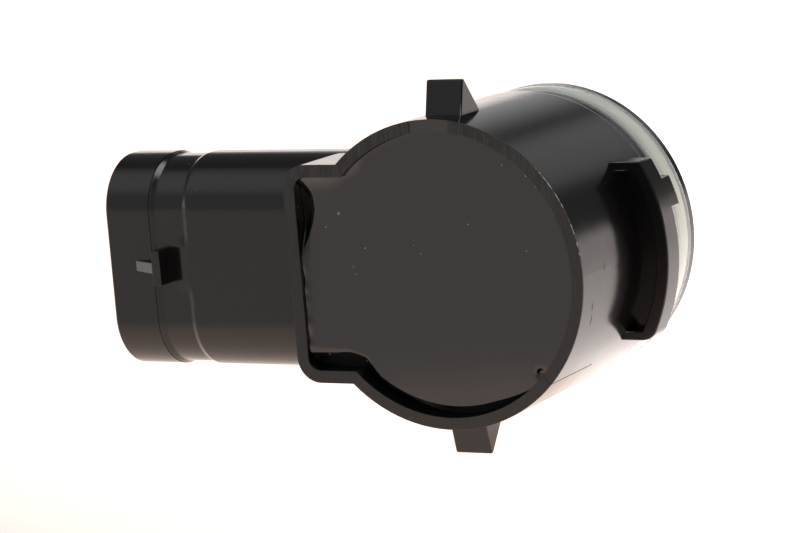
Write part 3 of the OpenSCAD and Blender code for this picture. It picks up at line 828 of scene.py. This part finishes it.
def resin_height(x, z):
    """Height of the resin's surface over the potting's flat face, in mm."""
    level = pool_rise + poured_rise * fade(x, *poured_span_x) + side_wall_level(x, z)
    level += swell * noise.noise(Vector((x / swell_length, z / swell_length, 0.5)))
    if z > 0:
        level += upper_wall_level(x, z)
    else:
        level *= past_moat(x, z)
        level -= bubble_depth * math.exp(-(math.hypot(x - bubble_x, z - bubble_z) / bubble_r) ** 2)
    return skin_t + min(highest, max(0.0, level))


for where, x, z in (("middle", 0, 0), ("lower wall", 0, -10.6), ("side wall", -11.7, -5)):
    print("resin stands at", round(resin_height(x, z), 2), "mm by the", where)

# %% [markdown]
# ## The resin's surface
# A flat face would miss all of that, and the corners of a square grid would not meet the round wall. So we
# lay rings inside the chamber's outline, close together near the wall where the level changes fast, and
# give every corner its height. The skin lies on the potting's own face, which stays as it is.

# %% Pour the resin's surface
wall_gap = 0.004
from_walls = [0, 0.05, 0.1, 0.17, 0.25, 0.35, 0.45, 0.56, 0.6, 0.65, 0.75, 0.88, 1.0, 1.15, 1.3, 1.5, 1.7,
              1.76, 1.85, 2.0, 2.3, 2.7, 3.2, 4.0, 5.0, 6.2, 7.6, 9.0]
pool_turns = full_turn(400)

bm = bmesh.new()
rings = []
for from_wall in from_walls:
    ring = []
    for angle in pool_turns:
        edge = chamber_edge(angle) - wall_gap
        radius = edge - from_wall * edge / chamber_r
        x, z = radius * math.cos(angle), radius * math.sin(angle)
        ring.append(bm.verts.new(Vector((x, pool_y - resin_height(x, z), z)) * MM))
    rings.append(ring)
foot = [bm.verts.new(Vector((v.co.x, pool_y * MM, v.co.z))) for v in rings[0]]
bridge(bm, rings[0], foot)
bm.faces.new(foot)
for outer, inner in zip(rings, rings[1:]):
    bridge(bm, inner, outer)
bm.faces.new(rings[-1])
resin = shell_piece("resin_surface", bm, potting, smooth=True)
print("resin's surface has", len(resin.data.polygons), "faces")

# %% [markdown]
# ## Specks on the resin
# Dust that fell on the resin while it was soft sits on it as small pale crumbs. A flat dot would vanish
# when the camera moves, so each crumb is a low dome of eight corners with an uneven edge.

# %% Scatter the specks
# Each crumb: its x and z, and its size, in mm.
crumbs = [
    (-8.57, 4.49, 0.13), (6.56, 1.66, 0.07), (1.97, 3.59, 0.07), (6.96, 7.14, 0.1), (-2.58, 2.06, 0.06),
    (7.65, 6.35, 0.08), (-6.59, 1.85, 0.08), (-9.72, 3.46, 0.08), (-2.05, 1.43, 0.06), (5.08, 7.94, 0.07),
    (8.93, 4.33, 0.05), (-10.4, -6.2, 0.07), (-7.3, -6.7, 0.05),
]
crumb_corners, crumb_rise, crumb_sink, crumb_uneven = 8, 0.6, 0.01, 0.5
crumb_dark, crumb_pale = (0.09, 0.087, 0.08, 1), (0.36, 0.35, 0.33, 1)

crumb_dust, add = new_material("crumb_dust")
grey = blend(add, cloud(add, place_in_mm(add)[0], size=0.08), crumb_dark, crumb_pale)
surface(add, Base_Color=grey, Roughness=0.7)

bm = bmesh.new()
for order, (x, z, size) in enumerate(crumbs):
    ground = pool_y - resin_height(x, z)
    top = bm.verts.new(Vector((x, ground - crumb_rise * size, z)) * MM)
    edge = []
    for k, angle in enumerate(full_turn(crumb_corners)):
        radius = size * (1 + crumb_uneven * noise.noise(Vector((order, k, 0.3))))
        spot = Vector((x + radius * math.cos(angle), ground + crumb_sink, z + radius * math.sin(angle)))
        edge.append(bm.verts.new(spot * MM))
    bm.faces.new(edge)
    for k in range(crumb_corners):
        bm.faces.new((top, edge[(k + 1) % crumb_corners], edge[k]))
shell_piece("dust_crumbs", bm, crumb_dust)
print("crumbs:", len(crumbs))

# %% [markdown]
# ## Silicone ring
# The membrane floats in a ring of clear silicone rubber so that the housing doesn't ring with it. Such
# rubber is milky: light goes a millimetre or two into it, turns round and comes out again. A
# plain colour would look like chalk, so the material lets light scatter below the surface. Close to the
# collar and to the black disc the rubber is thin over dark pieces and lies in the corners between parts,
# so its colour is painted darker towards both: a painted shade.

# %% Finish the silicone
# The last tone is a painted shade for the rubber beside the dark collar and disc.
milky, cloudy, painted_shade_tone = (0.64, 0.67, 0.61, 1), (0.56, 0.6, 0.54, 1), (0.17, 0.18, 0.17, 1)
skirt_end_y, lip_rear_y, lip_front_y = -3.96, -3.5, -1.0
rear_fade = (skirt_end_y - 0.05, lip_rear_y + 0.9)
front_fade = (lip_front_y - 0.6, lip_front_y + 0.1)

silicone, add = new_material("silicone")
place, x, y, z = place_in_mm(add)
# Painted shade: the tone darkens towards the collar and towards the black disc.
clear_of_painted_shade = both(add, soft_step(add, y, *rear_fade),
                 soft_step(add, y, *front_fade, below=1.0, above=0.0))
tone = blend(add, cloud(add, place, size=2.5), milky, cloudy)
tone = blend(add, clear_of_painted_shade, painted_shade_tone, tone)
surface(add, Base_Color=tone, IOR=1.41,
        Roughness=spread(add, cloud(add, place, size=0.9), low=0.12, high=0.22),
        Subsurface_Weight=0.6, Subsurface_Radius=(1.0, 1.05, 0.85), Subsurface_Scale=0.0012,
        Sheen_Weight=0.35, Sheen_Roughness=0.35,
        Normal=relief(add, cloud(add, place, size=0.09, detail=2.0), strength=0.06, depth=0.01))
dress(silicone, "decoupling_ring")
print("silicone on", len(nodes["decoupling_ring"].data.polygons), "faces")

# %% [markdown]
# ## Silicone skirt and bead
# Where the rubber was moulded against the collar, a thin skirt of it ran out over the collar's edge, and
# a bead of it fills the corner behind the black disc. Both are rings with a small section, so we list each
# section's few corners once and turn them about the sensor's axis. A modifier could turn them too, but a
# loop shows plainly where each corner lies.

# %% Turn the skirt and the bead
collar_r, disc_r = 11.2, 11.44
ring_turns = full_turn(160)
# Each corner of a section: its distance from the axis and its y, in mm.
sections = {
    "silicone_skirt": [
        (collar_r - 0.1, lip_rear_y + 0.5), (collar_r + 0.07, lip_rear_y + 0.4),
        (collar_r + 0.06, lip_rear_y), (collar_r + 0.045, skirt_end_y + 0.2),
        (collar_r + 0.02, skirt_end_y + 0.05), (collar_r - 0.01, skirt_end_y),
    ],
    "silicone_bead": [
        (disc_r - 0.15, lip_front_y - 0.5), (disc_r - 0.06, lip_front_y - 0.5),
        (disc_r - 0.03, lip_front_y - 0.25), (disc_r - 0.005, lip_front_y - 0.01),
        (disc_r - 0.15, lip_front_y - 0.01),
    ],
}
for name, section in sections.items():
    bm = bmesh.new()
    rings = []
    for radius, y in section:
        spots = [Vector((radius * math.cos(a), y, radius * math.sin(a))) * MM for a in ring_turns]
        rings.append([bm.verts.new(spot) for spot in spots])
    for first, second in zip(rings, rings[1:] + rings[:1]):
        bridge(bm, first, second)
    shell_piece(name, bm, silicone, smooth=True)
    print(name, "has a section of", len(section), "corners")

# %% [markdown]
# ## Painted membrane
# The membrane is the floor of an aluminium cup, painted black in front to match a bumper. Paint draws
# back from sharp edges, so the disc's front edge gets a small rounding and the paint a slight orange peel.
# The cup behind it stays bare. Two materials could share the piece, but a mask by depth needs only one.

# %% Finish the membrane
disc_middle_y, cup_start_y = -0.5, -1.2
front_rounding, inner_rounding = 0.12, 0.02
paint_black, bare_aluminium = (0.006, 0.006, 0.0062, 1), (0.55, 0.56, 0.57, 1)


def membrane_rounding(middle):
    """Rounds the disc in front and leaves its rear and the cup's inner edges sharp."""
    return front_rounding if middle[1] > disc_middle_y else inner_rounding


membrane = rounded_piece("painted_membrane", "membrane_cup", front_rounding,
                         membrane_rounding)

paint, add = new_material("membrane_paint")
place, x, y, z = place_in_mm(add)
bare = math_node(add, "LESS_THAN", y, cup_start_y)
turned = cloud(add, place, size=0.25, detail=2.0, stretch=(6, 0.3, 6))
surface(add, Base_Color=blend(add, bare, paint_black, bare_aluminium), Metallic=bare, IOR=1.5,
        Roughness=spread(add, turned, low=0.1, high=0.22),
        Normal=relief(add, cloud(add, place, size=0.35, detail=2.0), strength=0.08, depth=0.02))
membrane.data.materials.append(paint)

# %% [markdown]
# ## Terminals
# Three square terminals of tinned brass stand in the socket. They are stamped from strip, so their long
# edges are slightly rolled over. Tin is soft and scuffs along the way the plug slides, which a noise drawn
# out along that way shows better than an even one would.

# %% Round and plate the terminals
tin, worn_brass = (0.72, 0.71, 0.68, 1), (0.62, 0.5, 0.27, 1)
terminal_rounding = 0.05

contact_metal, add = new_material("contact_metal")
place = place_in_mm(add)[0]
scuffs = cloud(add, place, size=0.09, detail=2.0, stretch=(14, 1, 1))
wear = both(add, cloud(add, place, size=0.7), scuffs)
surface(add, Base_Color=blend(add, wear, tin, worn_brass), Metallic=1.0,
        Roughness=spread(add, scuffs, low=0.18, high=0.42))
for level in ("upper", "middle", "lower"):
    terminal = rounded_piece(f"plated_terminal_{level}", f"terminal_{level}",
                             terminal_rounding, lambda middle: terminal_rounding)
    terminal.data.materials.append(contact_metal)
dress(contact_metal, "contact_pin_a", "contact_pin_b")

# %% [markdown]
# ## The pieces inside
# The board and the transducer's inner pieces are sealed in, but the model can be opened, so each gets
# the finish it has on a workbench. Most need the same three things, a colour that wanders between two
# tones, a gloss that wanders with it and a fine relief, so one function makes those.

# %% Finish the plain inner pieces
def wandering(name, first, second, patch, rough, relief_size, strength=0.2, metallic=0.0):
    """A material between two tones with patches and a relief of given sizes in mm."""
    material, add = new_material(name)
    place = place_in_mm(add)[0]
    share = cloud(add, place, patch)
    surface(add, Base_Color=blend(add, share, (*first, 1), (*second, 1)), Metallic=metallic,
            Roughness=spread(add, share, *rough),
            Normal=relief(add, cloud(add, place, relief_size, detail=2.0), strength, depth=0.03))
    return material


# Each row: a material, and the nodes that it goes on.
plain_finishes = [
    (wandering("carrier_plastic", (0.05, 0.05, 0.055), (0.075, 0.075, 0.08), 1.2, (0.4, 0.6), 0.1),
     "transducer_carrier", "transformer_base"),
    (wandering("chip_plastic", (0.025, 0.025, 0.027), (0.04, 0.04, 0.042), 0.5, (0.5, 0.7), 0.06),
     "signal_chip"),
    (wandering("lead_metal", (0.66, 0.67, 0.68), (0.78, 0.78, 0.77), 0.3, (0.2, 0.4), 0.1, metallic=1.0),
     "chip_leads"),
    (wandering("ferrite", (0.07, 0.07, 0.075), (0.13, 0.13, 0.13), 0.15, (0.45, 0.75), 0.08, strength=0.4),
     "transformer_core"),
    (wandering("foam", (0.82, 0.8, 0.75), (0.6, 0.58, 0.53), 0.35, (0.85, 1.0), 0.3, strength=0.9),
     "damping_foam"),
    (wandering("bare_copper", (0.72, 0.36, 0.2), (0.5, 0.24, 0.13), 0.2, (0.2, 0.4), 0.1, metallic=1.0),
     "piezo_lead", "cup_lead"),
    (wandering("capacitor_case", (0.62, 0.36, 0.07), (0.52, 0.29, 0.05), 0.8, (0.35, 0.55), 0.12),
     "storage_capacitor"),
    (wandering("chip_ceramic", (0.5, 0.38, 0.25), (0.4, 0.3, 0.2), 0.3, (0.35, 0.55), 0.08),
     "ceramic_capacitors"),
    (wandering("resistor_glass", (0.03, 0.032, 0.036), (0.055, 0.057, 0.06), 0.3, (0.2, 0.35), 0.08),
     "chip_resistors"),
]
for material, *names in plain_finishes:
    dress(material, *names)
print("plain finishes inside:", len(plain_finishes))

# %% [markdown]
# ## Board, coil and piezo disc
# Three finishes have a pattern of their own. The board's copper tracks show as paler lines through the
# green mask, the coil is wound in rings, and the piezo disc carries a silver electrode that stops short of
# its rim. Tracks and wires could be modelled one by one, but here a brick pattern, a wave and a circle do.

# %% Finish the patterned inner pieces
dark_mask, light_mask, track_green = (0.025, 0.11, 0.05, 1), (0.035, 0.14, 0.07, 1), (0.08, 0.24, 0.11, 1)
dark_lacquer, light_lacquer = (0.28, 0.09, 0.03, 1), (0.6, 0.25, 0.1, 1)
dark_ceramic, light_ceramic, silver = (0.56, 0.5, 0.38, 1), (0.66, 0.6, 0.48, 1), (0.78, 0.77, 0.74, 1)
electrode_r = 3.9

board, add = new_material("board_laminate")
place, x, y, z = place_in_mm(add)
flat = add("ShaderNodeCombineXYZ", X=x, Y=z)
tracks = add("ShaderNodeTexBrick", {"offset": 0.37}, Vector=flat.outputs["Vector"], Scale=1.0,
             Mortar_Size=0.06, Brick_Width=2.1, Row_Height=0.7).outputs["Fac"]
mask_tone = blend(add, cloud(add, place, size=2.0), dark_mask, light_mask)
surface(add, Base_Color=blend(add, tracks, mask_tone, track_green),
        Roughness=spread(add, cloud(add, place, size=0.6), low=0.25, high=0.4),
        Normal=relief(add, tracks, strength=0.4, depth=0.04))
dress(board, "circuit_board")

winding, add = new_material("coil_winding")
place = place_in_mm(add)[0]
strands = add("ShaderNodeTexWave", {"bands_direction": "Y"}, Vector=place, Scale=2.1, Distortion=0.4)
strands = strands.outputs["Fac"]
surface(add, Base_Color=blend(add, strands, dark_lacquer, light_lacquer), Metallic=0.8,
        Roughness=spread(add, cloud(add, place, size=0.4), low=0.25, high=0.4),
        Normal=relief(add, strands, strength=0.8, depth=0.1))
dress(winding, "transformer_coil")

piezo, add = new_material("piezo_ceramic")
place, x, y, z = place_in_mm(add)
from_axis = math_node(add, "SQRT", math_node(add, "MULTIPLY_ADD", x, x, math_node(add, "MULTIPLY", z, z)))
silvered = math_node(add, "LESS_THAN", from_axis, electrode_r)
fired = blend(add, cloud(add, place, size=0.2), dark_ceramic, light_ceramic)
surface(add, Base_Color=blend(add, silvered, fired, silver), Metallic=silvered,
        Roughness=spread(add, cloud(add, place, size=0.3), low=0.35, high=0.55))
dress(piezo, "piezo_disc")
print("patterned finishes:", [material.name for material in (board, winding, piezo)])
